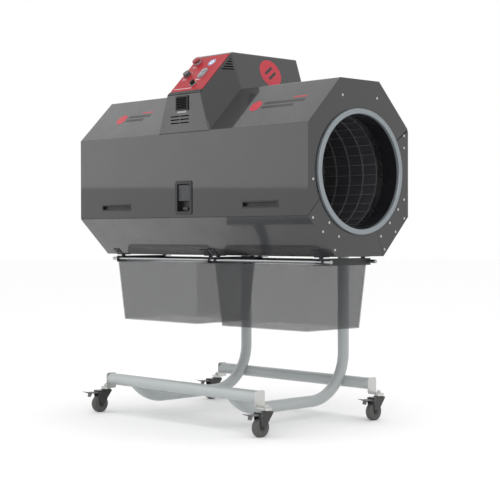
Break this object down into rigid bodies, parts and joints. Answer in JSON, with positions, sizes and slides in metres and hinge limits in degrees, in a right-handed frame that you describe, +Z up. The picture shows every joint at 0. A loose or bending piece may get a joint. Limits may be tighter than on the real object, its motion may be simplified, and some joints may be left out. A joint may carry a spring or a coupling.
{
  "type": "rotary drum sifter",
  "caption": "Wheeled rotary drum sifter: octagonal sheet-metal housing with open-ended turning drum, lifting hood with control box, sliding smoked bins and a tube stand.",
  "frame": {"origin": "on the floor, in the middle of the footprint", "axes": "+Z up, X along the drum, -Y towards the operator, +X the port at the operator's right"},
  "size_m": [1.464, 0.8219, 1.56],
  "materials": {
    "stand_paint": "silver-grey powder coat",
    "zinc_steel": "zinc plated",
    "rod_steel": "ground steel",
    "rail_coat": "dark powder coat",
    "housing_coat": "dark grey gloss powder coat",
    "ring_coat": "grey satin powder coat",
    "black_plastic": "moulded",
    "paddle_steel": "satin",
    "panel_red": "satin enamel",
    "grey_plastic": "moulded",
    "stop_red": "moulded",
    "cage_steel": "welded wire, coated",
    "track_alloy": "turned",
    "screen_cloth": "woven nylon screen",
    "motor_paint": "enamel",
    "belt_rubber": "moulded",
    "bin_plastic": "smoke-tinted, moulded",
    "caster_black": "black",
    "tyre_grey": "moulded",
    "pedal_grey": "moulded"
  },
  "bodies": {
    "stand": {"leg_left": "stand_paint", "leg_right": "stand_paint", "front_cross_tube": "stand_paint", "rear_cross_tube": "stand_paint", "caster_plates": "stand_paint", "caster_stems": "zinc_steel", "leg_clamps": "rail_coat", "bin_rods": "rod_steel", "bin_runners": "rail_coat", "rod_brackets": "rail_coat", "tray_shell": "housing_coat", "rear_shell": "housing_coat", "base_ends": "housing_coat", "port_ring_left": "ring_coat", "port_ring_right": "ring_coat", "port_collars": "housing_coat", "base_fasteners": "zinc_steel", "base_hinge_leaves": "housing_coat", "latch_keeper": "zinc_steel", "roller_bearings": "rail_coat", "gear_motor": "motor_paint", "drive_belt": "belt_rubber"},
    "hood": {"hood_shell": "housing_coat", "hood_ends": "housing_coat", "hood_hinge_leaves": "housing_coat", "pull_cups": "black_plastic", "latch_body": "black_plastic", "control_box": "housing_coat", "panel_plate": "panel_red", "button_bezels": "grey_plastic", "air_filter": "black_plastic", "power_inlet": "black_plastic"},
    "latch_handle": {"latch_paddle": "paddle_steel"},
    "latch_slide": {"latch_bolt": "zinc_steel"},
    "stop_button": {"stop_mushroom": "stop_red"},
    "speed_dial": {"speed_knob": "grey_plastic"},
    "selector_switch": {"selector_knob": "black_plastic"},
    "start_key": {"start_button": "grey_plastic"},
    "halt_key": {"halt_button": "grey_plastic"},
    "drum": {"drum_cage": "cage_steel", "drum_screen": "screen_cloth", "drum_tracks": "track_alloy"},
    "drive_shaft": {"drive_roller_shaft": "zinc_steel", "shaft_pulley": "zinc_steel"},
    "idler_shaft": {"idler_roller_shaft": "zinc_steel"},
    "motor_shaft": {"motor_pulley": "zinc_steel"},
    "left_bin": {"bin_left": "bin_plastic"},
    "right_bin": {"bin_right": "bin_plastic"},
    "swivel_fl": {"fork_fl": "caster_black"},
    "roll_fl": {"wheel_fl": "tyre_grey"},
    "brake_fl": {"pedal_fl": "pedal_grey"},
    "swivel_fr": {"fork_fr": "caster_black"},
    "roll_fr": {"wheel_fr": "tyre_grey"},
    "brake_fr": {"pedal_fr": "pedal_grey"},
    "swivel_rl": {"fork_rl": "caster_black"},
    "roll_rl": {"wheel_rl": "tyre_grey"},
    "brake_rl": {"pedal_rl": "pedal_grey"},
    "swivel_rr": {"fork_rr": "caster_black"},
    "roll_rr": {"wheel_rr": "tyre_grey"},
    "brake_rr": {"pedal_rr": "pedal_grey"}
  },
  "joints": [
    {"name": "hood_hinge", "type": "hinge", "parent": "stand", "child": "hood", "pos_m": [0, 0.3308, 1.216], "axis": [-1, 0, 0], "range_deg": [0, 60]},
    {"name": "latch_handle_hinge", "type": "hinge", "parent": "hood", "child": "latch_handle", "pos_m": [0, -0.2625, 0.994], "axis": [-1, 0, 0], "range_deg": [0, 40], "stiffness_Nm_per_rad": 0.4},
    {"name": "latch_slide_travel", "type": "slide", "parent": "hood", "child": "latch_slide", "axis": [0, -1, 0], "range_m": [0, 0.01]},
    {"name": "stop_button_press", "type": "slide", "parent": "hood", "child": "stop_button", "axis": [0, 0.7129, -0.7013], "range_m": [0, 0.004]},
    {"name": "speed_dial_turn", "type": "hinge", "parent": "hood", "child": "speed_dial", "pos_m": [-0.072, -0.18044, 1.46654], "axis": [0, -0.7129, 0.7013], "range_deg": [-150, 150]},
    {"name": "selector_switch_turn", "type": "hinge", "parent": "hood", "child": "selector_switch", "pos_m": [0.014, -0.22602, 1.4202], "axis": [0, -0.7129, 0.7013], "range_deg": [0, 90]},
    {"name": "start_key_press", "type": "slide", "parent": "hood", "child": "start_key", "axis": [0, 0.7129, -0.7013], "range_m": [0, 0.0025], "stiffness_N_per_m": 400},
    {"name": "halt_key_press", "type": "slide", "parent": "hood", "child": "halt_key", "axis": [0, 0.7129, -0.7013], "range_m": [0, 0.0025], "stiffness_N_per_m": 400},
    {"name": "drum_spin", "type": "hinge", "parent": "stand", "child": "drum", "pos_m": [0, 0.0275, 1.036], "axis": [1, 0, 0], "continuous": true},
    {"name": "drive_shaft_spin", "type": "hinge", "parent": "stand", "child": "drive_shaft", "pos_m": [0, 0.20446, 0.82511], "axis": [1, 0, 0], "continuous": true},
    {"name": "idler_shaft_spin", "type": "hinge", "parent": "stand", "child": "idler_shaft", "pos_m": [0, -0.14946, 0.82511], "axis": [1, 0, 0], "continuous": true},
    {"name": "motor_shaft_spin", "type": "hinge", "parent": "stand", "child": "motor_shaft", "pos_m": [-0.661, 0.26746, 0.87011], "axis": [1, 0, 0], "continuous": true},
    {"name": "left_bin_slide", "type": "slide", "parent": "stand", "child": "left_bin", "axis": [0, -1, 0], "range_m": [0, 0.33]},
    {"name": "right_bin_slide", "type": "slide", "parent": "stand", "child": "right_bin", "axis": [0, -1, 0], "range_m": [0, 0.33]},
    {"name": "swivel_fl_turn", "type": "hinge", "parent": "stand", "child": "swivel_fl", "pos_m": [-0.513, -0.2875, 0.104], "axis": [0, 0, 1], "continuous": true},
    {"name": "roll_fl_spin", "type": "hinge", "parent": "swivel_fl", "child": "roll_fl", "pos_m": [-0.513, -0.3225, 0.0375], "axis": [1, 0, 0], "continuous": true},
    {"name": "brake_fl_press", "type": "hinge", "parent": "swivel_fl", "child": "brake_fl", "pos_m": [-0.513, -0.3305, 0.0867], "axis": [1, 0, 0], "range_deg": [0, 15]},
    {"name": "swivel_fr_turn", "type": "hinge", "parent": "stand", "child": "swivel_fr", "pos_m": [0.513, -0.2875, 0.104], "axis": [0, 0, 1], "continuous": true},
    {"name": "roll_fr_spin", "type": "hinge", "parent": "swivel_fr", "child": "roll_fr", "pos_m": [0.513, -0.3225, 0.0375], "axis": [1, 0, 0], "continuous": true},
    {"name": "brake_fr_press", "type": "hinge", "parent": "swivel_fr", "child": "brake_fr", "pos_m": [0.513, -0.3305, 0.0867], "axis": [1, 0, 0], "range_deg": [0, 15]},
    {"name": "swivel_rl_turn", "type": "hinge", "parent": "stand", "child": "swivel_rl", "pos_m": [-0.513, 0.3815, 0.104], "axis": [0, 0, 1], "continuous": true},
    {"name": "roll_rl_spin", "type": "hinge", "parent": "swivel_rl", "child": "roll_rl", "pos_m": [-0.513, 0.3465, 0.0375], "axis": [1, 0, 0], "continuous": true},
    {"name": "brake_rl_press", "type": "hinge", "parent": "swivel_rl", "child": "brake_rl", "pos_m": [-0.513, 0.3385, 0.0867], "axis": [1, 0, 0], "range_deg": [0, 15]},
    {"name": "swivel_rr_turn", "type": "hinge", "parent": "stand", "child": "swivel_rr", "pos_m": [0.513, 0.3815, 0.104], "axis": [0, 0, 1], "continuous": true},
    {"name": "roll_rr_spin", "type": "hinge", "parent": "swivel_rr", "child": "roll_rr", "pos_m": [0.513, 0.3465, 0.0375], "axis": [1, 0, 0], "continuous": true},
    {"name": "brake_rr_press", "type": "hinge", "parent": "swivel_rr", "child": "brake_rr", "pos_m": [0.513, 0.3385, 0.0867], "axis": [1, 0, 0], "range_deg": [0, 15]}
  ],
  "couplings": [
    {"joint": "latch_slide_travel", "follows": "latch_handle_hinge", "m_per_rad": 0.01432},
    {"joint": "drive_shaft_spin", "follows": "drum_spin", "ratio": -10},
    {"joint": "idler_shaft_spin", "follows": "drum_spin", "ratio": -10},
    {"joint": "motor_shaft_spin", "follows": "drum_spin", "ratio": -10}
  ]
}
